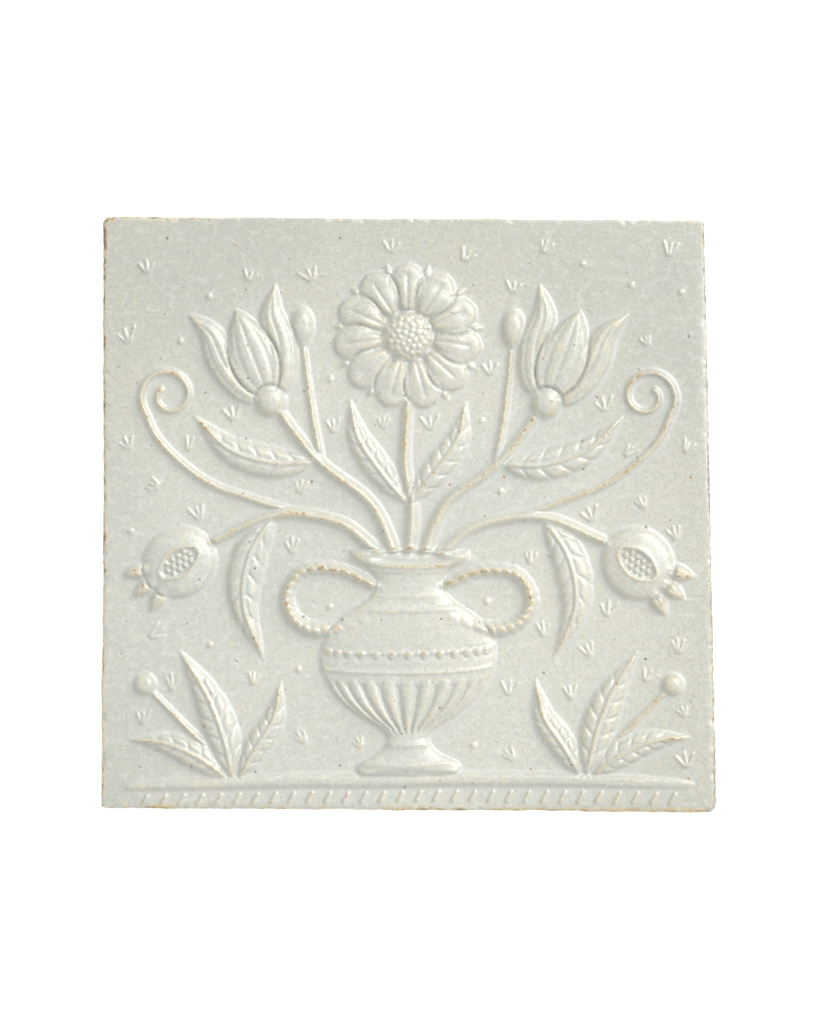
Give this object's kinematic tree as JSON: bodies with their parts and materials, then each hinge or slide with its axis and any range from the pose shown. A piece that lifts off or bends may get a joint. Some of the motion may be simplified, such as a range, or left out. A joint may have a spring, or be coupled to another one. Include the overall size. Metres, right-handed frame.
{
  "type": "handmade relief tile",
  "caption": "Square fired clay tile with a hand-modelled relief of a handled vase of flowers on its face, satin pale grey-green glaze and a plain flat back.",
  "frame": {"origin": "under the middle of the slab, on its flat back", "axes": "+Z out of the decorated face, +Y towards the top of the picture, +X towards its right side"},
  "size_m": [0.1544, 0.1494, 0.0152],
  "materials": {
    "glaze": "satin, finely mottled pale grey-green, breaking to tan on crests and edges"
  },
  "bodies": {
    "root": {"tile": "glaze"}
  },
  "joints": []
}
